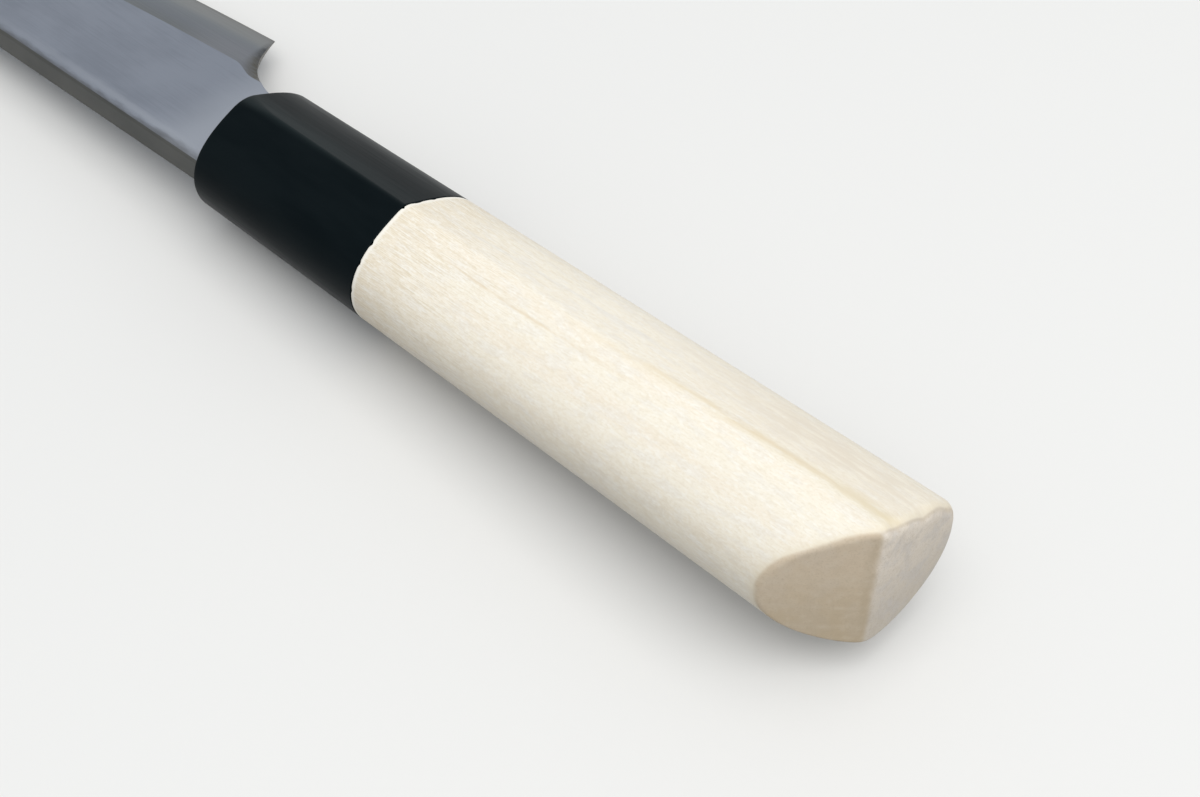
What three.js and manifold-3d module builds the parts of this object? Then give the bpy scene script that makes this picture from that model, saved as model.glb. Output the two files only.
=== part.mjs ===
// Honesuki knife: a laminated single-bevel blade on a hidden tang, in a ridged wooden handle with a ferrule.
// Sizes are millimetres. The knife is drawn with +X towards the tip, +Y towards the spine and +Z out of the
// bevelled face, from the point where the handle's axis leaves the ferrule, and is then laid down to rest.

import * as THREE from 'three';
import { mergeVertices } from 'three/addons/utils/BufferGeometryUtils.js';
import Module from 'manifold-3d';

const wasm = await Module();
wasm.setup();

// Blade outline, measured along and across the handle's axis from the ferrule's front
const edgeLength = 150;
const heelSetback = 21.6;
const heelDepth = 23;
const edgeStartAngle = 4.6;
const tipHeight = 3;
const tipBlunt = 0.5;
const spineAtNeck = 10.4;
const spineAtBend = 11.6;
const spineBend = 85;

// Blade section: thickness, bevel and hollow back
const bladeThickness = 4.3;
const tipThickness = 1.4;
const taperStart = 50;
const bevelWidth = 12.2;
const tipBevelShare = 0.8;
const tipThicknessShare = 0.5;
const edgeThickness = 0.15;
const hollowDepth = 0.35;
const hollowRim = 3.5;
const hollowStart = 24;
const hollowTipSetback = 21;

// Hard steel welded into the back of the iron
const steelThickness = 1.5;
const steelRise = 19;
const steelStart = 9;
const weldGap = 0.1;

// Heel notch, neck and tang
const heelRakeAngle = 64;
const notchEase = 1.6;
const neckDepth = 9.5;
const neckLength = 6.5;
const shoulderGap = 0.3;
const tangLength = 92;
const tangThickness = 3.4;
const tangMouthHeight = 13;
const tangEndHeight = 7;
const tangPointLength = 6;
const tangPointHeight = 2;
const tangFit = 0.3;

// Handle: an oval with a ridge on the face side, growing from the ferrule's front to the butt
const handleLength = 128;
const frontHeight = 24.8;
const frontBack = 10.4;
const frontRidge = 10.7;
const frontRidgeOffset = 1;
const buttHeight = 29.2;
const buttBack = 11.5;
const buttRidge = 11.8;
const buttRidgeOffset = 3.4;
const ridgeAngle = 21.6;
const sideFullness = 0.56;
const flankFullness = 0.5;

// Butt: two planes that meet in a line below the ridge
const buttSpineAngle = 45.5;
const buttEdgeAngle = 2.7;
const buttLineOffset = 3.5;

// Ferrule and the tenon that it sits on
const ferruleLength = 37;
const ferruleRound = 1.2;
const ferruleWall = 3.9;
const ferruleSeam = 0.3;
const tenonFit = 0.3;
const tenonRecess = 0.5;

// How far a cutting body runs past what it cuts
const cutOver = 1;

// Mesh fineness; the handle's back has few facets, so that the faceted knife lies still on one of them
const bladeStations = 48;
const backFacets = 12;
const flankFacets = 12;
const outlineSteps = 24;
const hollowSteps = 10;
const roundSteps = 4;

const iron = new THREE.MeshStandardMaterial({ color: 0x8a8f98, roughness: 0.42, metalness: 1 });
const steel = new THREE.MeshStandardMaterial({ color: 0xa3a4a4, roughness: 0.3, metalness: 1 });
const horn = new THREE.MeshStandardMaterial({ color: 0x12181b, roughness: 0.35, metalness: 0 });
const magnolia = new THREE.MeshStandardMaterial({ color: 0xefe4cf, roughness: 0.6, metalness: 0 });

const tipX = heelSetback + edgeLength;
const backZ = -bladeThickness / 2;
const { degToRad, lerp, clamp } = THREE.MathUtils;

// Closed surface through rings of points that all have the same count, capped at both ends
function loft(rings) {
  const count = rings[0].length;
  const positions = rings.flat().flatMap((point) => [point.x, point.y, point.z]);
  const index = [];
  for (let ring = 0; ring < rings.length - 1; ring += 1) {
    for (let side = 0; side < count; side += 1) {
      const a = ring * count + side;
      const b = ring * count + ((side + 1) % count);
      index.push(a, a + count, b, b, a + count, b + count);
    }
  }
  const last = (rings.length - 1) * count;
  for (let side = 1; side < count - 1; side += 1) {
    index.push(0, side, side + 1, last, last + side + 1, last + side);
  }
  const geometry = new THREE.BufferGeometry();
  geometry.setAttribute('position', new THREE.Float32BufferAttribute(positions, 3));
  geometry.setIndex(index);
  return geometry;
}

// Flat outline in X and Y, made into a block between two heights
function block(shape, bottom, top) {
  const geometry = new THREE.ExtrudeGeometry(shape, {
    depth: top - bottom,
    bevelEnabled: false,
    curveSegments: outlineSteps,
  });
  return geometry.translate(0, 0, bottom);
}

function toSolid(geometry) {
  const bare = geometry.clone();
  bare.deleteAttribute('normal');
  bare.deleteAttribute('uv');
  const welded = mergeVertices(bare, 1e-4);
  const mesh = new wasm.Mesh({
    numProp: 3,
    vertProperties: Float32Array.from(welded.attributes.position.array),
    triVerts: Uint32Array.from(welded.index.array),
  });
  return new wasm.Manifold(mesh);
}

function toMesh(name, solid, material) {
  const { vertProperties, triVerts } = solid.getMesh();
  const geometry = new THREE.BufferGeometry();
  geometry.setAttribute('position', new THREE.Float32BufferAttribute(vertProperties, 3));
  geometry.setIndex([...triVerts]);
  geometry.computeVertexNormals();
  const mesh = new THREE.Mesh(geometry, material);
  mesh.name = name;
  return mesh;
}

// Lines of the blade at a distance x from the ferrule
function edgeY(x) {
  const along = x - heelSetback;
  const slope = Math.tan(degToRad(edgeStartAngle));
  const curve = (tipHeight + heelDepth - slope * edgeLength) / edgeLength ** 2;
  return -heelDepth + slope * along + curve * Math.max(along, 0) ** 2;
}

function spineY(x) {
  const slope = (spineAtBend - spineAtNeck) / spineBend;
  const reach = tipX - spineBend;
  const drop = (spineAtBend + slope * reach - tipHeight) / reach ** 2;
  return spineAtNeck + slope * x - drop * Math.max(x - spineBend, 0) ** 2;
}

function bevelY(x) {
  const narrowed = tipBevelShare * (spineY(x) - edgeY(x));
  const width = (bevelWidth ** -4 + narrowed ** -4) ** -0.25;
  return edgeY(x) + width;
}

function faceZ(x) {
  const along = clamp((x - taperStart) / (tipX - taperStart), 0, 1);
  const thickness = lerp(bladeThickness, tipThickness, along);
  return backZ + Math.min(thickness, tipThicknessShare * (spineY(x) - edgeY(x)));
}

function bladeSection(x) {
  const edgeTop = Math.min(edgeThickness, faceZ(x) - backZ);
  return [
    new THREE.Vector3(x, spineY(x), backZ),
    new THREE.Vector3(x, edgeY(x), backZ),
    new THREE.Vector3(x, edgeY(x), backZ + edgeTop),
    new THREE.Vector3(x, bevelY(x), faceZ(x)),
    new THREE.Vector3(x, spineY(x), faceZ(x)),
  ];
}

function bladeBody() {
  const rings = [];
  for (let step = 0; step <= bladeStations; step += 1) {
    rings.push(bladeSection(lerp(shoulderGap, tipX - tipBlunt, step / bladeStations)));
  }
  return toSolid(loft(rings));
}

// Everything behind the heel and below the neck, to be cut away
function heelNotch() {
  const below = -2 * heelDepth;
  const rake = degToRad(heelRakeAngle);
  const cornerX = heelSetback - (heelDepth - neckDepth) / Math.tan(rake);
  const outline = new THREE.Shape();
  outline.moveTo(heelSetback, -heelDepth);
  outline.quadraticCurveTo(cornerX, -neckDepth - notchEase, neckLength, -neckDepth);
  outline.lineTo(-neckLength, -neckDepth);
  outline.lineTo(-neckLength, below);
  outline.lineTo(heelSetback, below);
  outline.closePath();
  return toSolid(block(outline, -bladeThickness, bladeThickness));
}

// Shallow hollow ground into the back, inside a flat rim
function backHollow() {
  const hollowEnd = tipX - hollowTipSetback;
  const rings = [];
  for (let step = 1; step < bladeStations; step += 1) {
    const share = step / bladeStations;
    const x = lerp(hollowStart, hollowEnd, share);
    const fade = Math.sqrt(1 - (2 * share - 1) ** 4);
    const middle = (spineY(x) + edgeY(x)) / 2;
    const half = ((spineY(x) - edgeY(x)) / 2 - hollowRim) * fade;
    const ring = [
      new THREE.Vector3(x, middle + half, backZ - cutOver),
      new THREE.Vector3(x, middle - half, backZ - cutOver),
    ];
    for (let across = 0; across <= hollowSteps; across += 1) {
      const side = (2 * across) / hollowSteps - 1;
      const depth = hollowDepth * fade * (1 - side ** 2);
      ring.push(new THREE.Vector3(x, middle + half * side, backZ + depth));
    }
    rings.push(ring);
  }
  return toSolid(loft(rings));
}

// Hard steel layer: the back of the blade from the edge up, grown by a gap where the iron is cut for it
function steelLayer(gap) {
  const outline = new THREE.Shape();
  outline.moveTo(steelStart - gap, -2 * heelDepth);
  outline.lineTo(tipX + cutOver, -2 * heelDepth);
  for (let step = bladeStations; step >= 0; step -= 1) {
    const x = lerp(steelStart - gap, tipX + cutOver, step / bladeStations);
    outline.lineTo(x, edgeY(x) + steelRise + gap);
  }
  outline.closePath();
  return toSolid(block(outline, backZ - cutOver, backZ + steelThickness + gap));
}

// Tang outline, also used with a clearance for the slot that takes it
function tangBlock(gap) {
  const outline = new THREE.Shape();
  outline.moveTo(shoulderGap + cutOver, tangMouthHeight / 2 + gap);
  outline.lineTo(-tangLength + tangPointLength, tangEndHeight / 2 + gap);
  outline.lineTo(-tangLength - gap, tangPointHeight / 2 + gap);
  outline.lineTo(-tangLength - gap, -tangPointHeight / 2 - gap);
  outline.lineTo(-tangLength + tangPointLength, -tangEndHeight / 2 - gap);
  outline.lineTo(shoulderGap + cutOver, -tangMouthHeight / 2 - gap);
  outline.closePath();
  return toSolid(block(outline, -tangThickness / 2 - gap, tangThickness / 2 + gap));
}

// Handle section at a distance behind the ferrule's front, drawn in by an inset
function handleSection(behind, inset) {
  const share = behind / handleLength;
  const half = lerp(frontHeight, buttHeight, share) / 2 - inset;
  const back = lerp(frontBack, buttBack, share) - inset;
  const ridge = lerp(frontRidge, buttRidge, share) - inset;
  const offset = lerp(frontRidgeOffset, buttRidgeOffset, share);
  const peak = new THREE.Vector2(offset, ridge);
  const slope = degToRad(ridgeAngle);
  const flank = (side) => {
    const foot = new THREE.Vector2(side * half, 0);
    const swell = new THREE.Vector2(side * half, ridge * sideFullness);
    const run = (half - side * offset) * flankFullness;
    const fall = new THREE.Vector2(side * Math.cos(slope), -Math.sin(slope)).multiplyScalar(run).add(peak);
    return new THREE.CubicBezierCurve(foot, swell, fall, peak).getPoints(flankFacets);
  };
  const points = [
    ...new THREE.EllipseCurve(0, 0, half, back, Math.PI, 2 * Math.PI).getPoints(backFacets),
    ...flank(1).slice(1),
    ...flank(-1).slice(1, -1).reverse(),
  ];
  return points.map((point) => new THREE.Vector3(-behind, point.x, point.y));
}

function ferruleBody() {
  const rings = [];
  for (let step = 0; step <= roundSteps; step += 1) {
    const turn = (Math.PI / 2) * (step / roundSteps);
    const inset = ferruleRound * (1 - Math.sin(turn));
    rings.push(handleSection(ferruleRound * (1 - Math.cos(turn)), inset));
  }
  rings.push(handleSection(ferruleLength, 0));
  return toSolid(loft(rings));
}

function gripBody() {
  const shoulder = ferruleLength + ferruleSeam;
  return toSolid(loft([handleSection(shoulder, 0), handleSection(handleLength, 0)]));
}

// Oval tenon inside the ferrule's wall, also used with a clearance for the ferrule's bore
function tenon(gap, from, to) {
  const halfHeight = frontHeight / 2 - ferruleWall + gap;
  const halfWidth = Math.min(frontBack, frontRidge) - ferruleWall + gap;
  const outline = new THREE.Shape();
  outline.absellipse(0, 0, halfHeight, halfWidth, 0, 2 * Math.PI, false);
  const ring = outline.getPoints(2 * outlineSteps).slice(0, -1);
  const place = (behind) => ring.map((point) => new THREE.Vector3(-behind, point.x, point.y));
  return toSolid(loft([place(from), place(to)]));
}

// What the two butt planes cut away
function buttCut() {
  const reach = buttHeight;
  const outline = new THREE.Shape();
  outline.moveTo(-handleLength, buttLineOffset);
  outline.lineTo(-handleLength + reach * Math.tan(degToRad(buttSpineAngle)), buttLineOffset + reach);
  outline.lineTo(-handleLength - reach, buttLineOffset + reach);
  outline.lineTo(-handleLength - reach, buttLineOffset - reach);
  outline.lineTo(-handleLength + reach * Math.tan(degToRad(buttEdgeAngle)), buttLineOffset - reach);
  outline.closePath();
  return toSolid(block(outline, -buttHeight, buttHeight));
}

const ground = bladeBody().subtract(heelNotch()).subtract(backHollow());
const cladding = ground.subtract(steelLayer(weldGap)).add(tangBlock(0));
const edgeSteel = ground.intersect(steelLayer(0));
const ferrule = ferruleBody().subtract(tenon(tenonFit, -cutOver, ferruleLength + cutOver));
const grip = gripBody()
  .subtract(buttCut())
  .add(tenon(0, tenonRecess, ferruleLength + cutOver))
  .subtract(tangBlock(tangFit));

const knife = new THREE.Group();
knife.add(toMesh('iron_blade_and_tang', cladding, iron));
knife.add(toMesh('edge_steel', edgeSteel, steel));
knife.add(toMesh('ferrule', ferrule, horn));
knife.add(toMesh('wooden_grip', grip, magnolia));

// Laid down on its tip and on the ferrule's rim, where the rim's lowest facet leans to the edge side
const rim = handleSection(ferruleRound, 0);
const rimLowest = rim[backFacets / 2];
const rimBeside = rim[backFacets / 2 - 1];
const tip = new THREE.Vector3(tipX - tipBlunt, edgeY(tipX - tipBlunt), backZ);
const up = new THREE.Triangle(rimLowest, rimBeside, tip).getNormal(new THREE.Vector3());
const pitch = Math.atan2(-up.x, up.z);
const roll = Math.atan2(up.y, Math.hypot(up.x, up.z));
knife.rotation.set(roll, pitch, 0);

// The middle of its footprint is the origin
const box = new THREE.Box3().setFromObject(knife, true);
const middle = box.getCenter(new THREE.Vector3());
knife.position.set(-middle.x, -middle.y, -box.min.z);

const part = new THREE.Group();
part.add(knife);

export default part;
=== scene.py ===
import math
import random
import bmesh
import bpy
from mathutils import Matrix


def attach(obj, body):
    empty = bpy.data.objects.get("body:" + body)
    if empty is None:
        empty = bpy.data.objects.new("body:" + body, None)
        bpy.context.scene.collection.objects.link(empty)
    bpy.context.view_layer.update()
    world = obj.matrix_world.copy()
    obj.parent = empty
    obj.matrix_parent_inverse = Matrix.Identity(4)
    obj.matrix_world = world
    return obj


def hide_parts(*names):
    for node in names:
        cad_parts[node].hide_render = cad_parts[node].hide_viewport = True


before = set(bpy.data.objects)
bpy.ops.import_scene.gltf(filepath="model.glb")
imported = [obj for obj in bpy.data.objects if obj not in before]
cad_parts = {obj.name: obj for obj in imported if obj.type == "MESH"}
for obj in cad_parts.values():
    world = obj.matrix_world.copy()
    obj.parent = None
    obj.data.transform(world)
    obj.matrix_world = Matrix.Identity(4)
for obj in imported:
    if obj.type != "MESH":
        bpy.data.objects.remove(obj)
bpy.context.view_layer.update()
scene = bpy.context.scene
scene.view_settings.view_transform = "Standard"
mm = 0.001

# the knife is modelled along +X from the ferrule's front, then laid down as the CAD lays it
rest = {
    "turn": (6.29678188, 2.83252863, 0.31242265),  # degrees
    "move": (-21.196035, 4.419645, 10.275566),  # mm
}


def degrees(*angles):
    return tuple(math.radians(angle) for angle in angles)


def metres(*lengths):
    return tuple(length * mm for length in lengths)


def mix(low, high, share):
    return low + (high - low) * share


def clamp(share):
    return min(max(share, 0), 1)


# the smaller of two lengths, with a soft change from one to the other
def softMin(first, second, power):
    return (first ** -power + second ** -power) ** (-1 / power)


def deselectAll():
    if bpy.context.mode != "OBJECT":
        bpy.ops.object.mode_set(mode="OBJECT")
    bpy.ops.object.select_all(action="DESELECT")


def pickOnly(piece):
    deselectAll()
    piece.select_set(True)
    bpy.context.view_layer.objects.active = piece


# a round n-gon, extruded once for each ring and fitted to it, in mm; a pole closes the last ring
def loftRings(name, rings, pole=None):
    deselectAll()
    bpy.ops.mesh.primitive_circle_add(vertices=len(rings[0]), radius=10 * mm, fill_type="NGON")
    piece = bpy.context.object
    piece.name = name
    bpy.ops.object.mode_set(mode="EDIT")
    for step, ring in enumerate(rings):
        if step:
            bpy.ops.mesh.extrude_region_move()
        mesh = bmesh.from_edit_mesh(piece.data)
        cap = [face for face in mesh.faces if face.select][0]
        for corner, point in zip(cap.verts, ring):
            corner.co = metres(*point)
        bmesh.update_edit_mesh(piece.data)
    if pole:
        bpy.ops.mesh.merge(type="CENTER")
        mesh = bmesh.from_edit_mesh(piece.data)
        [corner for corner in mesh.verts if corner.select][0].co = metres(*pole)
        bmesh.update_edit_mesh(piece.data)
    bpy.ops.mesh.select_all(action="SELECT")
    bpy.ops.mesh.normals_make_consistent(inside=False)
    bpy.ops.object.mode_set(mode="OBJECT")
    return piece


def combine(piece, other, operation, keep=False):
    pickOnly(piece)
    modifier = piece.modifiers.new("Cut", "BOOLEAN")
    modifier.operation = operation
    modifier.solver = "EXACT"
    modifier.object = other
    bpy.ops.object.modifier_apply(modifier=modifier.name)
    if not keep:
        bpy.data.objects.remove(other)


def copyOf(piece, name):
    pickOnly(piece)
    bpy.ops.object.duplicate()
    bpy.context.object.name = name
    return bpy.context.object


cleaning = {"merge": 0.002, "flatWeight": 90}


# cleans the mesh, lays the piece down and leaves its place in the mesh
def layDown(piece, creaseAngle):
    pickOnly(piece)
    bpy.ops.object.mode_set(mode="EDIT")
    bpy.ops.mesh.select_all(action="SELECT")
    bpy.ops.mesh.remove_doubles(threshold=cleaning["merge"] * mm)
    bpy.ops.mesh.normals_make_consistent(inside=False)
    bpy.ops.object.mode_set(mode="OBJECT")
    bpy.ops.object.shade_smooth_by_angle(angle=math.radians(creaseAngle))
    weighted = piece.modifiers.new("Flats", "WEIGHTED_NORMAL")
    weighted.keep_sharp = True
    weighted.weight = cleaning["flatWeight"]
    bpy.ops.object.modifier_apply(modifier=weighted.name)
    piece.rotation_euler = degrees(*rest["turn"])
    piece.location = metres(*rest["move"])
    bpy.ops.object.transform_apply(location=True, rotation=True, scale=True)


# camera, where the photo was taken from
camera = {
    "place": (-227.75458, 143.35111, 250.41483),  # mm
    "turn": (38.523283, 0.135666, -136.885835),  # degrees
    "lens": 63.727,
    "sensor": 36,
    "nearest": 0.01,
}
deselectAll()
bpy.ops.object.camera_add(location=metres(*camera["place"]), rotation=degrees(*camera["turn"]))
photoCamera = bpy.context.object
photoCamera.name = "photoCamera"
photoCamera.data.sensor_fit = "HORIZONTAL"
photoCamera.data.sensor_width = camera["sensor"]
photoCamera.data.lens = camera["lens"]
photoCamera.data.clip_start = camera["nearest"]
scene.camera = photoCamera
print("camera placed")

# studio: one soft box overhead, even light from all round and a pale backdrop beyond the knife
studio = {
    "overhead": {
        "from": (-0.36, 0.05, 0.93),
        "away": 1.1,
        "size": (1.2, 1.4),
        "power": 9.3,
        "tint": (1.0, 0.98, 0.95),
    },
    "air": (0.58, 0.605, 0.63),
    "backdrop": (0.885, 0.885, 0.88),
    "fade": (0.18, 0.5),  # metres from the middle, where the floor turns into the backdrop
}


def hangSoftBox(name, box):
    length = math.sqrt(sum(part * part for part in box["from"]))
    place = [part / length * box["away"] for part in box["from"]]
    level = math.hypot(place[0], place[1])
    turn = (math.atan2(level, place[2]), 0, math.atan2(place[0], -place[1]))
    deselectAll()
    bpy.ops.object.light_add(type="AREA", location=place, rotation=turn)
    light = bpy.context.object
    light.name = name
    light.data.shape = "RECTANGLE"
    light.data.size, light.data.size_y = box["size"]
    light.data.energy = box["power"]
    light.data.color = box["tint"]


hangSoftBox("overhead", studio["overhead"])
print("light hung")


# node helpers: values and links set on a node's sockets, and a node with its sockets and settings
def fillSockets(tree, node, sockets):
    for key, value in sockets.items():
        if isinstance(value, bpy.types.NodeSocket):
            tree.links.new(value, node.inputs[key])
        else:
            node.inputs[key].default_value = value


def addNode(tree, kind, sockets=None, **settings):
    node = tree.nodes.new(kind)
    for key, value in settings.items():
        setattr(node, key, value)
    fillSockets(tree, node, sockets or {})
    return node


def calculate(tree, operation, first, second=0.0, third=0.0):
    sockets = {0: first, 1: second, 2: third}
    return addNode(tree, "ShaderNodeMath", sockets, operation=operation).outputs[0]


def mapRange(tree, value, fromLow, fromHigh, toLow, toHigh, smooth=True):
    sockets = {"Value": value, "From Min": fromLow, "From Max": fromHigh, "To Min": toLow, "To Max": toHigh}
    kind = "SMOOTHSTEP" if smooth else "LINEAR"
    return addNode(tree, "ShaderNodeMapRange", sockets, interpolation_type=kind).outputs["Result"]


# the product of several values, each first brought from one range to another
def multiplyRanges(tree, *pairs):
    product = 1.0
    for value, levels in pairs:
        product = calculate(tree, "MULTIPLY", mapRange(tree, value, *levels), product)
    return product


# how far a value is from a middle, on either side
def distance(tree, value, middle):
    return calculate(tree, "ABSOLUTE", calculate(tree, "SUBTRACT", value, middle))


def mixColour(tree, share, first, second):
    first, second = [(*tint, 1) if isinstance(tint, tuple) else tint for tint in (first, second)]
    sockets = {0: share, 6: first, 7: second}
    return addNode(tree, "ShaderNodeMix", sockets, data_type="RGBA", clamp_factor=True).outputs[2]


def splitPlace(tree, place):
    return addNode(tree, "ShaderNodeSeparateXYZ", {0: place}).outputs


def readMark(tree, name):
    return addNode(tree, "ShaderNodeAttribute", attribute_name=name).outputs["Fac"]


# a group that takes a place and some numbers and gives one value
def newGroup(name, numbers, result):
    tree = bpy.data.node_groups.new(name, "ShaderNodeTree")
    tree.interface.new_socket("Vector", in_out="INPUT", socket_type="NodeSocketVector")
    for socketName, value in numbers.items():
        socket = tree.interface.new_socket(socketName, in_out="INPUT", socket_type="NodeSocketFloat")
        socket.default_value = value
    tree.interface.new_socket(result, in_out="OUTPUT", socket_type="NodeSocketFloat")
    return tree, tree.nodes.new("NodeGroupInput").outputs, tree.nodes.new("NodeGroupOutput").inputs


def placeGroup(tree, group, place, numbers):
    return addNode(tree, "ShaderNodeGroup", {"Vector": place, **numbers}, node_tree=group).outputs[0]


# a new material, its Principled shader, and coordinates in mm along the knife
def newMaterial(name):
    material = bpy.data.materials.new(name)
    material.use_nodes = True
    tree = material.node_tree
    shader = tree.nodes["Principled BSDF"]
    laidDown = {
        "Vector": addNode(tree, "ShaderNodeTexCoord").outputs["Object"],
        "Location": metres(*rest["move"]),
        "Rotation": degrees(*rest["turn"]),
        "Scale": (mm, mm, mm),
    }
    along = addNode(tree, "ShaderNodeMapping", laidDown, vector_type="TEXTURE").outputs["Vector"]
    return material, tree, shader, along


# a place divided by one size along the knife and by another across it
def squeeze(tree, place, lengthwise, across):
    part = splitPlace(tree, place)
    sizes = {"X": lengthwise, "Y": across, "Z": across}
    sockets = {axis: calculate(tree, "DIVIDE", part[axis], size) for axis, size in sizes.items()}
    return addNode(tree, "ShaderNodeCombineXYZ", sockets).outputs[0]


# marks that run along the knife: wood fibres, grinding lines, polishing lines
def makeLengthwise():
    tree, take, give = newGroup("lengthwiseMarks", {"Width": 0.4, "Length": 20.0, "Detail": 2.0}, "Value")
    place = squeeze(tree, take["Vector"], take["Length"], take["Width"])
    noise = addNode(tree, "ShaderNodeTexNoise", {"Vector": place, "Scale": 1.0, "Detail": take["Detail"]})
    tree.links.new(noise.outputs["Fac"], give["Value"])
    return tree


# slow cloudy change over the surface
def makeClouds():
    tree, take, give = newGroup("softClouds", {"Size": 8.0, "Stretch": 2.0}, "Value")
    lengthwise = calculate(tree, "MULTIPLY", take["Size"], take["Stretch"])
    place = squeeze(tree, take["Vector"], lengthwise, take["Size"])
    sockets = {"Vector": place, "Scale": 1.0, "Detail": 3.0, "Roughness": 0.55}
    noise = addNode(tree, "ShaderNodeTexNoise", sockets)
    tree.links.new(noise.outputs["Fac"], give["Value"])
    return tree


# a few tiny round specks
def makeSpecks():
    tree, take, give = newGroup("tinySpecks", {"Spacing": 3.0, "Size": 0.15}, "Mask")
    share = calculate(tree, "DIVIDE", 1.0, take["Spacing"])
    cells = addNode(tree, "ShaderNodeTexVoronoi", {"Vector": take["Vector"], "Scale": share})
    away = calculate(tree, "MULTIPLY", cells.outputs["Distance"], take["Spacing"])
    chance = addNode(tree, "ShaderNodeSeparateColor", {0: cells.outputs["Color"]}).outputs["Red"]
    mask = multiplyRanges(tree, (away, (0.0, take["Size"], 1.0, 0.0)), (chance, (0.55, 0.95, 0.0, 1.0)))
    tree.links.new(mask, give["Mask"])
    return tree


lengthwiseMarks = makeLengthwise()
softClouds = makeClouds()
tinySpecks = makeSpecks()
noiseSpan = (0.3, 0.7)  # where most values of a noise lie


# one value for each entry of a table, from the same group with different sizes
def readGrain(tree, group, place, table):
    return {name: placeGroup(tree, group, place, sizes) for name, sizes in table.items()}


# lays colours over a first one, each where the value that it follows lies between two levels
def layColours(tree, colour, values, layers, tints):
    for layer in layers:
        share = mapRange(tree, values[layer["follow"]], *layer["levels"], *layer["share"])
        if "where" in layer:
            share = calculate(tree, "MULTIPLY", share, values[layer["where"]])
        colour = mixColour(tree, share, colour, tints[layer["colour"]])
    return colour


# gives a shader its colour, a roughness that follows the marks, and a faint relief
def finishSurface(tree, shader, colour, marks, look, height=None):
    strength, depth = look["relief"]
    height = marks if height is None else height
    bump = addNode(tree, "ShaderNodeBump", {"Height": height, "Strength": strength, "Distance": depth * mm})
    fillSockets(tree, shader, {
        "Base Color": colour,
        "Roughness": mapRange(tree, marks, *noiseSpan, *look["roughness"], smooth=False),
        "Normal": bump.outputs["Normal"],
    })


# rays that show what they meet: seen by the camera, mirrored or looked through
def seenRays(tree):
    ray = addNode(tree, "ShaderNodeLightPath").outputs
    shown = calculate(tree, "MAXIMUM", ray["Is Camera Ray"], ray["Is Glossy Ray"])
    return calculate(tree, "MAXIMUM", shown, ray["Is Transmission Ray"])


world = bpy.data.worlds.new("studioAir")
scene.world = world
world.use_nodes = True
airColour = mixColour(world.node_tree, seenRays(world.node_tree), studio["air"], studio["backdrop"])
world.node_tree.links.new(airColour, world.node_tree.nodes["Background"].inputs["Color"])

# floor: pale where it is seen, quieter where it lights the knife from below
floorLook = {
    "size": 12.0,
    "height": -0.1,
    "seen": (0.80, 0.795, 0.78),
    "bounce": (0.30, 0.29, 0.28),
    "roughness": 0.9,
    "specular": 0.1,
}
deselectAll()
bpy.ops.mesh.primitive_plane_add(size=floorLook["size"], location=(0, 0, floorLook["height"] * mm))
floor = bpy.context.object
floor.name = "paleFloor"
floorMaterial = bpy.data.materials.new("paleFloor")
floorMaterial.use_nodes = True
floorTree = floorMaterial.node_tree
floorShader = floorTree.nodes["Principled BSDF"]
floorSeen = seenRays(floorTree)
floorColour = mixColour(floorTree, floorSeen, floorLook["bounce"], floorLook["seen"])
floorTree.links.new(floorColour, floorShader.inputs["Base Color"])
floorShader.inputs["Roughness"].default_value = floorLook["roughness"]
floorShader.inputs["Specular IOR Level"].default_value = floorLook["specular"]
floorPlace = addNode(floorTree, "ShaderNodeTexCoord").outputs["Object"]
fromMiddle = addNode(floorTree, "ShaderNodeVectorMath", {0: floorPlace}, operation="LENGTH")
faded = mapRange(floorTree, fromMiddle.outputs["Value"], *studio["fade"], 0.0, 1.0)
faded = calculate(floorTree, "MULTIPLY", faded, floorSeen)
backdrop = addNode(floorTree, "ShaderNodeEmission", {"Color": (*studio["backdrop"], 1)}).outputs[0]
floorBlend = addNode(floorTree, "ShaderNodeMixShader", {0: faded, 1: floorShader.outputs[0], 2: backdrop})
floorTree.links.new(floorBlend.outputs[0], floorTree.nodes["Material Output"].inputs["Surface"])
floor.data.materials.append(floorMaterial)
print("floor laid")

# handle: an oval with a ridge on the face side, from the ferrule's front to the butt, in mm
handle = {
    "length": 128,
    "height": (24.8, 29.2),
    "back": (10.4, 11.5),
    "ridge": (10.7, 11.8),
    "ridgeOffset": (1.0, 3.4),
    "ridgeAngle": 21.6,
    "sideFullness": 0.56,
    "flankFullness": 0.5,
    "backSteps": 64,
    "flankSteps": 26,
    "ridgeSteps": 14,
}
tenon = {"wall": 3.9, "recess": 0.5, "fit": 0.3}
ferruleSize = {
    "length": 37,
    "round": 0.45,
    "rearRound": 0.12,
    "ridgeSoft": (2.4, 0.45),
    "softEnd": 6,
    "roundSteps": 8,
    "bodySteps": 16,
    "bodySpread": 1.5,
    "boreReach": 3,
}


def bezier(points, share):
    while len(points) > 1:
        points = [(mix(a[0], b[0], share), mix(a[1], b[1], share)) for a, b in zip(points, points[1:])]
    return points[0]


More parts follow.
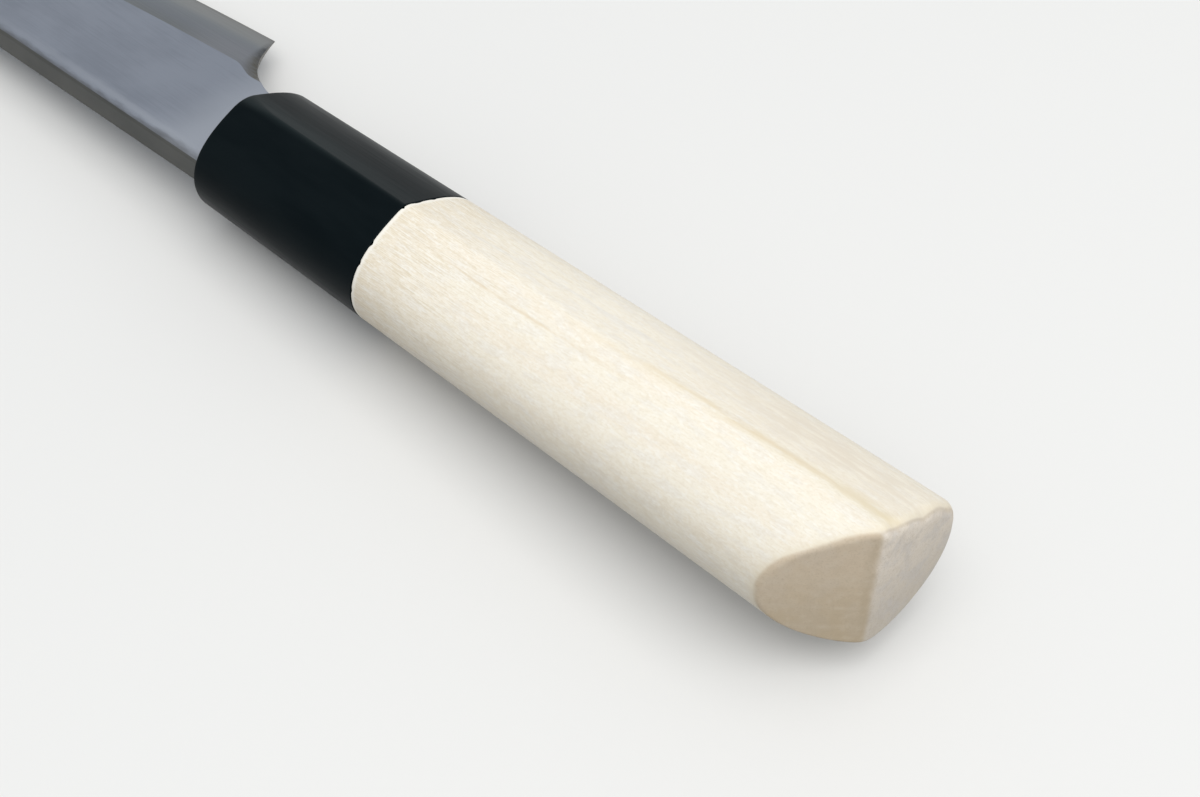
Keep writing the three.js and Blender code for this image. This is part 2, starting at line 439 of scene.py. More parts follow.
# one section of the handle, with its ridge softened over a short width
def handleRing(behind, inset, ridgeSoft):
    share = behind / handle["length"]
    half = mix(*handle["height"], share) / 2 - inset
    back = mix(*handle["back"], share) - inset
    ridge = mix(*handle["ridge"], share) - inset
    offset = mix(*handle["ridgeOffset"], share)
    slope = math.radians(handle["ridgeAngle"])
    ring = []
    for step in range(handle["backSteps"] + 1):
        turn = math.pi * (1 + step / handle["backSteps"])
        ring.append((half * math.cos(turn), back * math.sin(turn)))
    flanks = []
    for side in (1, -1):
        run = (half - side * offset) * handle["flankFullness"]
        shoulder = (offset + side * math.cos(slope) * run, ridge - math.sin(slope) * run)
        guide = [(side * half, 0), (side * half, ridge * handle["sideFullness"]), shoulder, (offset, ridge)]
        last = 1 - ridgeSoft / (3 * run)
        steps = range(handle["flankSteps"] + 1)
        flanks.append([bezier(guide, last * step / handle["flankSteps"]) for step in steps])
    ring += flanks[0][1:]
    for step in range(1, handle["ridgeSteps"]):
        ring.append(bezier([flanks[0][-1], (offset, ridge), flanks[1][-1]], step / handle["ridgeSteps"]))
    ring += flanks[1][:0:-1]
    return [(-behind, *point) for point in ring]


# an oval ring with as many points as a handle section
def ovalRing(behind, gap):
    halfHeight = handle["height"][0] / 2 - tenon["wall"] + gap
    halfWidth = min(handle["back"][0], handle["ridge"][0]) - tenon["wall"] + gap
    lower = handle["backSteps"]
    upper = 2 * handle["flankSteps"] + handle["ridgeSteps"]
    turns = [math.pi * (1 + step / lower) for step in range(lower)]
    turns += [math.pi * step / upper for step in range(upper)]
    return [(-behind, halfHeight * math.cos(turn), halfWidth * math.sin(turn)) for turn in turns]


tang = {
    "length": 92,
    "thickness": 3.4,
    "mouth": 13,
    "end": 7,
    "point": 6,
    "pointHeight": 2,
    "fit": 0.3,
    "slotFront": 5,
    "overlap": 1,
}


def tangBlock(name, front, gap):
    upper = [
        (front, tang["mouth"] / 2 + gap),
        (-tang["length"] + tang["point"], tang["end"] / 2 + gap),
        (-tang["length"] - gap, tang["pointHeight"] / 2 + gap),
    ]
    outline = upper + [(x, -y) for x, y in reversed(upper)]
    half = tang["thickness"] / 2 + gap
    return loftRings(name, [[(x, y, z) for x, y in outline] for z in (-half, half)])


# wooden grip: tenon, shoulder, ridged body and a butt of two flats inside a rounded rim
grip = {
    "shoulder": 37.04,
    "shoulderRound": 0.28,
    "chipDepth": 0.5,
    "chipShare": 0.09,
    "shoulderSteps": 3,
    "bodySteps": 20,
    "ridgeSoft": (1.5, 2.8),
    "buttSpineAngle": 45.5,
    "buttEdgeAngle": -0.6,
    "buttLine": 3.3,
    "buttSoft": 1.1,
    "buttRound": (2.0, 1.4),
    "foldFade": 5,
    "backRound": 0.45,
    "backFade": 8,
    "rimWander": 0.2,
    "rimWaves": ((1, 0.95, 0.6), (0.35, 2.1, 1.1)),  # strength, pace and start of each
    "cornerFrom": -12.5,
    "cornerFade": 4,
    "cutTries": 8,
    "probe": 0.05,
    "roundSteps": 8,
    "buttSteps": 20,
    "seed": 4,
}
bodyStart = grip["shoulder"] + 2 * grip["shoulderRound"]


# how far behind the ferrule's front the butt is cut, at a height y
def buttCut(y):
    spineSide = (y - grip["buttLine"]) * math.tan(math.radians(grip["buttSpineAngle"]))
    edgeSide = (grip["buttLine"] - y) * math.tan(math.radians(grip["buttEdgeAngle"]))
    apart = math.hypot(spineSide - edgeSide, grip["buttSoft"])
    return handle["length"] - (spineSide + edgeSide + apart) / 2


# one line of the grip: straight along the body, round the rim and over the flat to its middle
def gripLine(front, rear, before, after):
    span = math.hypot(after[1] - before[1], after[2] - before[2])
    inward = ((before[2] - after[2]) / span, (after[1] - before[1]) / span)

    def pointAt(behind, inset):
        share = (behind - bodyStart) / (handle["length"] - bodyStart)
        return [mix(front[part], rear[part], share) + inward[part - 1] * inset for part in (1, 2)]

    cut = handle["length"]
    for step in range(grip["cutTries"]):
        cut = buttCut(pointAt(cut, 0)[0])
    height = pointAt(cut, 0)[0]
    probe = grip["probe"]
    slope = (buttCut(height + probe) - buttCut(height - probe)) / (2 * probe) * inward[0]
    turn = math.atan2(1, slope)
    spineShare = clamp((height - grip["buttLine"]) / grip["foldFade"] + 0.5)
    frontShare = clamp(pointAt(cut, 0)[1] / grip["backFade"] + 1)
    rounding = mix(*grip["buttRound"], spineShare) * mix(grip["backRound"], 1, frontShare)
    wander = sum(strength * math.sin(pace * height + begin) for strength, pace, begin in grip["rimWaves"])
    wander *= clamp((height - grip["cornerFrom"]) / grip["cornerFade"])
    rounding *= 1 + grip["rimWander"] * wander * frontShare
    start = cut - rounding * math.tan(turn / 2)
    line = []
    for step in range(grip["bodySteps"] + 1):
        behind = mix(bodyStart, start, step / grip["bodySteps"])
        line.append((-behind, *pointAt(behind, 0)))
    end = start + rounding * math.sin(turn)
    rim = pointAt(end, rounding * (1 - math.cos(turn)))
    miss = buttCut(rim[0]) - end
    for step in range(1, grip["roundSteps"] + 1):
        share = step / grip["roundSteps"]
        behind = start + rounding * math.sin(turn * share) + miss * share * share
        line.append((-behind, *pointAt(behind, rounding * (1 - math.cos(turn * share)))))
    rimEnd = line[-1]
    for step in range(1, grip["buttSteps"]):
        share = 1 - step / grip["buttSteps"]
        y, z = mix(grip["buttLine"], rimEnd[1], share), rimEnd[2] * share
        line.append((-buttCut(y), y, z))
    return line


def gripRings():
    draw = random.Random(grip["seed"])
    rings = [ovalRing(tenon["recess"], 0), ovalRing(grip["shoulder"], 0)]
    chances = [draw.random() for corner in rings[0]]
    chips = [grip["chipDepth"] * max(1 - chance / grip["chipShare"], 0) ** 0.5 for chance in chances]
    last = grip["shoulderSteps"]
    for step in range(last + 1):  # rounded shoulder, with small chips where the grain tore
        turn = math.pi / 2 * step / last
        inset = grip["shoulderRound"] * (1 - math.sin(turn))
        behind = grip["shoulder"] + grip["shoulderRound"] * (1 - math.cos(turn))
        ring = handleRing(behind, inset, grip["ridgeSoft"][0])
        rings.append([(x - chip * (1 - step / (last + 1)), y, z) for (x, y, z), chip in zip(ring, chips)])
    front = handleRing(bodyStart, 0, grip["ridgeSoft"][0])
    rear = handleRing(handle["length"], 0, grip["ridgeSoft"][1])
    lines = [gripLine(*corner) for corner in zip(front, rear, rear[-1:] + rear, rear[1:] + rear[:1])]
    return rings + [list(ring) for ring in zip(*lines)]


woodGrip = loftRings("woodGrip", gripRings(), (-buttCut(grip["buttLine"]), grip["buttLine"], 0))
combine(woodGrip, tangBlock("slotCutter", tang["slotFront"], tang["fit"]), "DIFFERENCE")
print("grip shaped:", len(woodGrip.data.polygons), "faces")


# ferrule: same section, rounded at its front, with an oval bore for the tenon
def ferruleRing(behind, inset):
    soft = mix(*ferruleSize["ridgeSoft"], min(behind / ferruleSize["softEnd"], 1))
    return handleRing(behind, inset, soft)


def ferruleRings():
    rings = []
    front, rear = ferruleSize["round"], ferruleSize["length"] - ferruleSize["rearRound"]
    for step in range(ferruleSize["roundSteps"] + 1):
        turn = math.pi / 2 * step / ferruleSize["roundSteps"]
        rings.append(ferruleRing(front * (1 - math.cos(turn)), front * (1 - math.sin(turn))))
    for step in range(1, ferruleSize["bodySteps"] + 1):
        share = (step / ferruleSize["bodySteps"]) ** ferruleSize["bodySpread"]
        rings.append(ferruleRing(mix(front, rear, share), 0))
    rings.append(ferruleRing(ferruleSize["length"], ferruleSize["rearRound"]))
    return rings


hornFerrule = loftRings("hornFerrule", ferruleRings())
boreEnds = (-ferruleSize["boreReach"], ferruleSize["length"] + ferruleSize["boreReach"])
boreCutter = loftRings("boreCutter", [ovalRing(end, tenon["fit"]) for end in boreEnds])
combine(hornFerrule, boreCutter, "DIFFERENCE")
print("ferrule shaped:", len(hornFerrule.data.polygons), "faces")

# blade: lines of the outline and the section at a distance x from the ferrule, in mm
blade = {
    "edgeLength": 150,
    "heelSetback": 21.6,
    "heelDepth": 23,
    "edgeStartAngle": 4.6,
    "tipHeight": 3,
    "tipBlunt": 0.5,
    "spineAtNeck": 10.4,
    "spineAtBend": 11.6,
    "spineBend": 85,
    "thickness": 4.3,
    "tipThickness": 1.4,
    "taperStart": 50,
    "bevelWidth": 12.2,
    "flare": 1.6,
    "flareFrom": (17.5, 12),
    "tipBevelShare": 0.8,
    "tipThicknessShare": 0.5,
    "edgeThickness": 0.15,
    "hollowDepth": 0.35,
    "hollowRim": 3.5,
    "hollowStart": 24,
    "hollowTipSetback": 21,
    "spineRound": 0.8,
    "backRound": 0.2,
    "roundLimit": (0.3, 0.2),
    "edgeLimit": 0.4,
    "hollowLimit": 0.1,
    "hollowSteps": 20,
    "bevelSteps": 14,
    "flatSteps": 6,
    "roundSteps": 5,
    "bevelPower": 4,
    "facePower": 3,
    "shoulderGap": 0.3,
    "stationStep": 1.6,
    "fineStep": 0.7,
    "fineHeel": 36,
    "fineTip": 12,
}
bladeTip = blade["heelSetback"] + blade["edgeLength"]
bladeBack = -blade["thickness"] / 2


def edgeLine(x):
    along = x - blade["heelSetback"]
    slope = math.tan(math.radians(blade["edgeStartAngle"]))
    length = blade["edgeLength"]
    curve = (blade["tipHeight"] + blade["heelDepth"] - slope * length) / length ** 2
    return -blade["heelDepth"] + slope * along + curve * max(along, 0) ** 2


def spineLine(x):
    slope = (blade["spineAtBend"] - blade["spineAtNeck"]) / blade["spineBend"]
    reach = bladeTip - blade["spineBend"]
    drop = (blade["spineAtBend"] + slope * reach - blade["tipHeight"]) / reach ** 2
    return blade["spineAtNeck"] + slope * x - drop * max(x - blade["spineBend"], 0) ** 2


# the bevel's upper line, which spreads a little beside the notch
def bevelLine(x):
    narrowed = blade["tipBevelShare"] * (spineLine(x) - edgeLine(x))
    far, near = blade["flareFrom"]
    share = clamp((far - x) / (far - near))
    flare = blade["flare"] * share * share * (3 - 2 * share)
    return edgeLine(x) + softMin(blade["bevelWidth"], narrowed, blade["bevelPower"]) + flare


def faceHeight(x):
    along = clamp((x - blade["taperStart"]) / (bladeTip - blade["taperStart"]))
    thickness = mix(blade["thickness"], blade["tipThickness"], along)
    thinned = blade["tipThicknessShare"] * (spineLine(x) - edgeLine(x))
    return bladeBack + softMin(thickness, thinned, blade["facePower"])


def hollowAt(x):
    share = (x - blade["hollowStart"]) / (bladeTip - blade["hollowTipSetback"] - blade["hollowStart"])
    return math.sqrt(1 - (2 * share - 1) ** 4) if 0 < share < 1 else 0


notch = {
    "rakeAngle": 64,
    "ease": 1.5,
    "neckDepth": 9.2,
    "neckLength": 6.5,
    "steps": 40,
    "lean": 0.42,
    "leanTowards": (30, 65),
    "dip": 0.4,
    "dipWidth": (2.6, 0.5),
    "dipShare": 0.2,
    "dipLimit": 1.5,
    "dipFrom": 0.12,
    "reach": 5,
    "cutReach": 6,
}


def notchCurve():
    rise = (blade["heelDepth"] - notch["neckDepth"]) / math.tan(math.radians(notch["rakeAngle"]))
    guide = [
        (blade["heelSetback"], -blade["heelDepth"]),
        (blade["heelSetback"] - rise, -notch["neckDepth"] - notch["ease"]),
        (notch["neckLength"], -notch["neckDepth"]),
    ]
    return [bezier(guide, step / notch["steps"]) for step in range(notch["steps"] + 1)]


notchPoints = notchCurve()


# distance from the notch, below zero on the side that is cut away
def fromNotch(x, y):
    near = min(notchPoints, key=lambda point: math.hypot(x - point[0], y - point[1]))
    away = math.hypot(x - near[0], y - near[1])
    return -away if x < near[0] and y < near[1] else away


# how far across the bevel a point is, from its upper line to the edge
def bevelShare(x, y):
    return (bevelLine(x) - y) / (bevelLine(x) - edgeLine(x))


# the bevel dips towards the notch, where it was rubbed over
def notchDip(x, y, height):
    share = bevelShare(x, y)
    width = mix(*notch["dipWidth"], share)
    near = min(max(1 - fromNotch(x, y) / width, 0), notch["dipLimit"])
    depth = min(notch["dip"], notch["dipShare"] * height)
    return depth * near ** 2 * min(share / notch["dipFrom"], 1)


# section from the spine's back corner, round by the edge and over the face
def bladeRing(x):
    top, edge, bevel, face = spineLine(x), edgeLine(x), bevelLine(x), faceHeight(x)
    thick, flat = blade["roundLimit"]
    soft = min(blade["spineRound"], thick * (face - bladeBack), flat * (top - bevel))
    edgeTop = bladeBack + min(blade["edgeThickness"], blade["edgeLimit"] * (face - bladeBack))
    middle, fade = (top + edge) / 2, hollowAt(x)
    half = max(((top - edge) / 2 - blade["hollowRim"]) * fade, blade["hollowLimit"] * (top - edge))
    backSoft = soft * blade["backRound"] / blade["spineRound"]
    ring = [(top - backSoft, bladeBack)]
    for step in range(blade["hollowSteps"] + 1):
        side = 1 - 2 * step / blade["hollowSteps"]
        ring.append((middle + half * side, bladeBack + blade["hollowDepth"] * fade * (1 - side * side)))
    ring.append((edge, bladeBack))
    for step in range(blade["bevelSteps"] + 1):
        share = step / blade["bevelSteps"]
        y, z = mix(edge, bevel, share), mix(edgeTop, face, share)
        ring.append((y, z - notchDip(x, y, z - bladeBack)))
    for step in range(1, blade["flatSteps"] + 1):
        ring.append((mix(bevel, top - soft, step / blade["flatSteps"]), face))
    turns = [math.pi / 2 * step / blade["roundSteps"] for step in range(blade["roundSteps"] + 1)]
    for turn in turns[1:]:
        ring.append((top - soft + soft * math.sin(turn), face - soft + soft * math.cos(turn)))
    for turn in turns[:-1]:
        y = top - backSoft + backSoft * math.cos(turn)
        ring.append((y, bladeBack + backSoft - backSoft * math.sin(turn)))
    return [(x, y, z) for y, z in ring]


def bladeRings():
    last = bladeTip - blade["tipBlunt"]
    stations = [blade["shoulderGap"]]
    while stations[-1] < last:
        fine = stations[-1] < blade["fineHeel"] or stations[-1] > last - blade["fineTip"]
        stations.append(min(stations[-1] + blade["fineStep" if fine else "stationStep"], last))
    return [bladeRing(x) for x in stations]


# outline of the notch at a height z: its wall leans, and cuts a little deeper at the back
def notchOutline(z):
    outline = []
    for step, (x, y) in enumerate(notchPoints):
        along = step / notch["steps"]
        upward = clamp(1 - bevelShare(x, y)) * (faceHeight(x) - bladeBack)
        deeper = notch["lean"] * (1 - along) * (bladeBack + upward - z)
        towards = math.radians(mix(*notch["leanTowards"], along))
        outline.append((x + deeper * math.cos(towards), y + deeper * math.sin(towards), z))
    behind, below = -notch["reach"], -2 * blade["heelDepth"]
    outline += [(behind, -notch["neckDepth"], z), (behind, below, z)]
    return outline + [(blade["heelSetback"], below, z)]


# hard steel along the back: its weld line wanders a little where the bevel cuts it
weld = {
    "start": 9,
    "thickness": 1.5,
    "rise": 19,
    "wander": 0.07,
    "waves": ((0.6, 3.1, 0), (0.4, 1.37, 1), (0.7, 11, 2)),  # strength, length and start of each
    "steps": 150,
    "over": 1,
    "reach": 50,
}


def weldRings():
    rings = []
    for step in range(weld["steps"] + 1):
        x = mix(weld["start"], bladeTip + weld["over"], step / weld["steps"])
        wander = sum(strength * math.sin(x / length + begin) for strength, length, begin in weld["waves"])
        top = bladeBack + weld["thickness"] + weld["wander"] * wander
        bottom = bladeBack - weld["over"]
        high, low = edgeLine(x) + weld["rise"], -weld["reach"]
        rings.append([(x, low, bottom), (x, high, bottom), (x, high, top), (x, low, top)])
    return rings


ironBlade = loftRings("ironBlade", bladeRings())
notchCutter = loftRings("notchCutter", [notchOutline(side * notch["cutReach"]) for side in (-1, 1)])
combine(ironBlade, notchCutter, "DIFFERENCE")
edgeSteel = copyOf(ironBlade, "edgeSteel")
weldCutter = loftRings("weldCutter", weldRings())
combine(edgeSteel, weldCutter, "INTERSECT", keep=True)
combine(ironBlade, weldCutter, "DIFFERENCE")
combine(ironBlade, tangBlock("tangBar", blade["shoulderGap"] + tang["overlap"], 0), "UNION")


# stores a value at each point of a piece, for its material to read
def markPoints(piece, name, valueAt):
    layer = piece.data.attributes.new(name, "FLOAT", "POINT")
    for vertex in piece.data.vertices:
        layer.data[vertex.index].value = valueAt(vertex.co.x / mm, vertex.co.y / mm)


for piece in (ironBlade, edgeSteel):
    markPoints(piece, "fromSpine", lambda x, y: spineLine(x) - y)
    markPoints(piece, "bevelShare", bevelShare)
    markPoints(piece, "fromNotch", fromNotch)
print("blade shaped:", len(ironBlade.data.polygons), "and", len(edgeSteel.data.polygons), "faces")


# magnolia: pale cream, fine straight grain, a few tan streaks, tiny flecks and greyer flats at the butt; one
# broad streak on the edge flank is painted shade, the line along the ridge and the tan on the limbs are
# partly painted shade, the tenon is painted shade and the shoulder's corner carries a painted highlight
wood = {
    "cream": (0.91, 0.85, 0.725),
    "blush": (0.885, 0.80, 0.67),
    "grey": (0.84, 0.80, 0.73),
    "warm": (0.84, 0.755, 0.61),
    "thread": (0.725, 0.635, 0.475),
    "tan": (0.76, 0.67, 0.525),
    "bright": (0.95, 0.915, 0.835),
    "rim": (0.79, 0.70, 0.53),
    "slant": ((0.56, 0.455, 0.315), (0.675, 0.56, 0.42)),
    "end": ((0.64, 0.58, 0.50), (0.85, 0.77, 0.67)),
    "lilac": (0.61, 0.575, 0.545),
    "tenon": (0.60, 0.495, 0.355),
    "ray": (0.70, 0.62, 0.50),
    "fold": (0.48, 0.39, 0.27),
    "roughness": (0.52, 0.66),
    "relief": (0.25, 0.05),
    "fleckRelief": 0.6,
    "specular": 0.35,
    "front": (-74.0, -40.0, 0.12, 0.6),
    "sideHeight": 1.5,
    # where the tan on the limbs lies, partly painted shade
    "side": (0.0, 6.5, 0.38, 0.0),
    "uneven": (-0.25, 0.1),
    "edgeSide": (-1.5, 0.5),
    "flatFrom": (0.9, 0.75),
    "flatFull": 0.15,
    "crest": 0.36,
    "crestFade": (0.0, 0.3, 0.38, 0.0),
}
woodMarks = {
    "fibre": {"Width": 0.16, "Length": 3.2, "Detail": 2.0},
    "fleck": {"Width": 0.24, "Length": 1.1, "Detail": 1.0},
    "layer": {"Width": 3.0, "Length": 160.0, "Detail": 2.0},
    "strand": {"Width": 0.2, "Length": 8.0, "Detail": 1.0},
    "uneven": {"Width": 3.6, "Length": 3.6, "Detail": 0.5},
}
woodClouds = {
    "patch": {"Size": 1.5, "Stretch": 3.0},
    "grit": {"Size": 0.45, "Stretch": 3.0},
    "mottle": {"Size": 1.1, "Stretch": 1.8},
    "pore": {"Size": 0.3, "Stretch": 1.8},
}
woodLayers = [
    {"follow": "layer", "levels": (0.42, 0.68), "share": (0.0, 0.6), "colour": "blush"},
    {"follow": "along", "levels": (-53.0, -38.0), "share": (0.0, 0.9), "colour": "warm"},
    {"follow": "patch", "levels": (0.46, 0.64), "share": (0.0, 0.55), "colour": "grey"},
    {"follow": "grit", "levels": (0.50, 0.68), "share": (0.0, 0.6), "colour": "bright"},
    {"follow": "grit", "levels": (0.46, 0.32), "share": (0.0, 0.25), "colour": "tan"},
    {"follow": "fibre", "levels": (0.53, 0.66), "share": (0.0, 1.0), "colour": "thread", "where": "front"},
    {"follow": "strand", "levels": (0.56, 0.68), "share": (0.0, 0.85), "colour": "thread", "where": "front"},
    {"follow": "fibre", "levels": (0.46, 0.34), "share": (0.0, 1.0), "colour": "bright", "where": "front"},
    # tan mottle round the limbs: partly the wood's own mottle, partly painted shade where the sides turn
    # from the light
    {"follow": "mottle", "levels": (0.40, 0.66), "share": (0.25, 1.0), "colour": "tan", "where": "side"},
    {"follow": "fleck", "levels": (0.54, 0.68), "share": (0.0, 0.75), "colour": "thread", "where": "front"},
    {"follow": "pore", "levels": (0.52, 0.66), "share": (0.0, 0.3), "colour": "tan"},
    {"follow": "pore", "levels": (0.46, 0.34), "share": (0.0, 0.3), "colour": "bright"},
]
# a painted highlight along the corner of the shoulder, painted shade on the tenon inside the ferrule, and
# the browner rim of the butt
woodEnds = [
    # painted highlight along the corner of the shoulder
    {"follow": "along", "levels": (-38.1, -37.5), "share": (0.0, 0.85), "colour": "bright"},
    # painted shade on the tenon inside the ferrule
    {"follow": "along", "levels": (-36.9, -36.5), "share": (0.0, 1.0), "colour": "tenon"},
    {"follow": "fromCut", "levels": (2.2, 0.4), "share": (0.0, 0.55), "colour": "rim"},
]
# a streak has its height at a distance behind the ferrule's front, drift, half width and reach each way
streakShape = {"Height": 0.0, "Behind": 80.0, "Drift": 0.0, "Width": 1.0, "Reach": 50.0}
streaksAndPaintedShade = [
    {"shape": (4.9, 62, 0.011, 0.4, 40), "colour": (0.72, 0.58, 0.38), "strength": 0.5},
    # the next two streaks: a tan line beside the ridge, partly grain and partly painted shade, broadening
    # near the butt
    {"shape": (1.1, 104, -0.036, 1.6, 42), "colour": (0.77, 0.64, 0.42), "strength": 0.7},
    {"shape": (0.6, 127, 0.0, 3.2, 18), "colour": (0.78, 0.68, 0.48), "strength": 0.9},
    {"shape": (-3.3, 70, -0.05, 0.7, 45), "colour": (0.74, 0.72, 0.69), "strength": 0.4},
    {"shape": (8.6, 80, 0.012, 0.5, 45), "colour": (0.76, 0.65, 0.48), "strength": 0.25},
    {"shape": (-7.6, 95, -0.03, 0.8, 50), "colour": (0.77, 0.70, 0.60), "strength": 0.35},
    # painted shade over the edge flank towards the butt
    {"shape": (-6.0, 114, 0.0, 8.5, 42), "colour": (0.77, 0.69, 0.57), "strength": 0.85},
]
streakLook = {
    "wave": {"Width": 3.0, "Length": 24.0, "Detail": 2.0},
    "swing": (0.2, 0.8, -0.8, 0.8),
    "patch": {"Size": 1.2, "Stretch": 5.0},
    "patchy": (0.35, 0.6, 0.35, 1.0),
    "faceSide": (0.0, 3.0, 0.0, 1.0),
}


# a mask for one streak that runs along the handle and wanders a little: a line of grain, and in some streaks
# painted shade
def makeStreak():
    tree, take, give = newGroup("grainAndShadeStreak", streakShape, "Mask")
    part = splitPlace(tree, take["Vector"])
    past = calculate(tree, "SUBTRACT", calculate(tree, "MULTIPLY", part["X"], -1.0), take["Behind"])
    middle = calculate(tree, "MULTIPLY_ADD", past, take["Drift"], take["Height"])
    wave = placeGroup(tree, lengthwiseMarks, take["Vector"], streakLook["wave"])
    swing = mapRange(tree, wave, *streakLook["swing"], smooth=False)
    away = distance(tree, part["Y"], calculate(tree, "ADD", middle, swing))
    mask = multiplyRanges(
        tree,
        (away, (0.0, take["Width"], 1.0, 0.0)),
        (calculate(tree, "ABSOLUTE", past), (0.0, take["Reach"], 1.0, 0.0)),
        (placeGroup(tree, softClouds, take["Vector"], streakLook["patch"]), streakLook["patchy"]),
        (part["Z"], streakLook["faceSide"]),
    )
    tree.links.new(mask, give["Mask"])
    return tree


grainAndShadeStreak = makeStreak()
markPoints(woodGrip, "fromCut", lambda x, y: buttCut(y) + x)

# the flats at the butt: an end on the edge's side and a slant on the spine's side, with a fold between them
buttLook = {
    "tilt": 0.1,
    "depth": 0.02,
    "layer": {"Width": 1.1, "Length": 34.0, "Detail": 3.0},
    "clouds": {
        "cloud": {"Size": 4.0, "Stretch": 1.0},
        "pore": {"Size": 0.3, "Stretch": 1.0},
        "blotch": {"Size": 1.3, "Stretch": 1.0},
    },
    "wander": (-0.3, 0.3),
    "foldSoft": 0.6,
    "foldShade": 0.7,
    "high": (-9.0, 8.0, 0.0, 1.0),
    "endSide": (0.0, 1.0, 0.5, 0.1),
    "layers": [
        {"follow": "layer", "levels": (0.42, 0.70), "share": (0.0, 0.2), "colour": "ray"},
        {"follow": "cloud", "levels": (0.42, 0.62), "share": (0.0, 1.0), "colour": "lilac", "where": "end"},
        {"follow": "fromFold", "levels": (0.0, 1.1), "share": (0.3, 0.0), "colour": "fold"},
        {"follow": "blotch", "levels": (0.46, 0.64), "share": (0.0, 0.14), "colour": "fold"},
        {"follow": "blotch", "levels": (0.48, 0.34), "share": (0.0, 0.2), "colour": "ray"},
        {"follow": "pore", "levels": (0.50, 0.68), "share": (0.0, 0.3), "colour": "fold"},
    ],
}


# colour of the two flats at the butt: faint growth layers, and a darker line along the fold
def buttColour(tree, along, part):
    turned = addNode(tree, "ShaderNodeCombineXYZ", {
        "X": calculate(tree, "MULTIPLY_ADD", part["Z"], buttLook["tilt"], part["Y"]),
        "Y": calculate(tree, "MULTIPLY_ADD", part["Y"], -buttLook["tilt"], part["Z"]),
        "Z": calculate(tree, "MULTIPLY", part["X"], buttLook["depth"]),
    }).outputs[0]
    values = readGrain(tree, softClouds, along, buttLook["clouds"])
    values["layer"] = placeGroup(tree, lengthwiseMarks, turned, buttLook["layer"])
    wander = mapRange(tree, values["cloud"], *noiseSpan, *buttLook["wander"], smooth=False)
    height = calculate(tree, "ADD", part["Y"], wander)
    fold, soft = grip["buttLine"], buttLook["foldSoft"]
    spineSide = mapRange(tree, height, fold - soft, fold + soft, 0.0, 1.0)
    values["end"] = mapRange(tree, spineSide, *buttLook["endSide"], smooth=False)
    values["fromFold"] = distance(tree, height, fold + buttLook["foldShade"])
    high = mapRange(tree, part["Z"], *buttLook["high"])
    end, slant = [mixColour(tree, high, *wood[side]) for side in ("end", "slant")]
    return layColours(tree, mixColour(tree, spineSide, end, slant), values, buttLook["layers"], wood)


def magnoliaWood():
    material, tree, shader, along = newMaterial("magnolia")
    part = splitPlace(tree, along)
    values = readGrain(tree, lengthwiseMarks, along, woodMarks)
    values.update(readGrain(tree, softClouds, along, woodClouds))
    values["along"] = part["X"]
    values["front"] = mapRange(tree, part["X"], *wood["front"])
    values["side"] = mapRange(tree, distance(tree, part["Z"], wood["sideHeight"]), *wood["side"])
    colour = layColours(tree, wood["cream"], values, woodLayers, wood)
    for streak in streaksAndPaintedShade:
        mask = placeGroup(tree, grainAndShadeStreak, along, dict(zip(streakShape, streak["shape"])))
        share = calculate(tree, "MULTIPLY", mask, streak["strength"])
        colour = mixColour(tree, share, colour, streak["colour"])
    uneven = mapRange(tree, values["uneven"], *noiseSpan, *wood["uneven"], smooth=False)
    fromCut = calculate(tree, "ADD", readMark(tree, "fromCut"), uneven)
    values["fromCut"] = fromCut
    colour = layColours(tree, colour, values, woodEnds, wood)
    low, high = [grip["buttLine"] + side for side in wood["edgeSide"]]
    edgeSide = mapRange(tree, part["Y"], low, high, 1.0, 0.0)
    flatFrom = mapRange(tree, edgeSide, 0.0, 1.0, *wood["flatFrom"], smooth=False)
    onFlat = mapRange(tree, fromCut, flatFrom, wood["flatFull"], 0.0, 1.0)
    colour = mixColour(tree, onFlat, colour, buttColour(tree, along, part))
    crest = mapRange(tree, distance(tree, fromCut, wood["crest"]), *wood["crestFade"])
    colour = mixColour(tree, calculate(tree, "MULTIPLY", crest, edgeSide), colour, wood["fold"])
    height = calculate(tree, "MULTIPLY_ADD", values["fleck"], wood["fleckRelief"], values["fibre"])
    finishSurface(tree, shader, colour, values["fibre"], wood, height)
    shader.inputs["Specular IOR Level"].default_value = wood["specular"]
    return material


# ferrule: blue-black horn, satin, with a painted sheen beside the ridge, faint polishing lines and dust
horn = {
    "dark": (0.0010, 0.0030, 0.0042),
    "light": (0.0030, 0.0056, 0.0070),
    # colour of the painted sheen beside the ridge
    "streak": (0.0105, 0.0155, 0.017),
    "dust": (0.08, 0.08, 0.075),
    "dusty": 0.7,
    "sheen": (0.70, 0.92, 1.0),
    "specular": 0.055,
    "roughness": (0.29, 0.42),
    "relief": (0.12, 0.02),
    "cloud": {"Size": 6.0, "Stretch": 4.0},
    "cloudy": (0.35, 0.7, 0.0, 1.0),
    "polish": {"Width": 0.18, "Length": 9.0, "Detail": 2.0},
    "specks": {"Spacing": 3.2, "Size": 0.16},
    # where the painted sheen beside the ridge lies
    "ridgeSheenRanges": [
        ("Y", (2.4, 0.9, 0.0, 1.0)),
        ("Y", (-3.6, 0.2, 0.0, 1.0)),
        ("X", (-36.0, -14.0, 0.55, 1.0)),
        ("Z", (2.0, 6.0, 0.0, 1.0)),
    ],
}


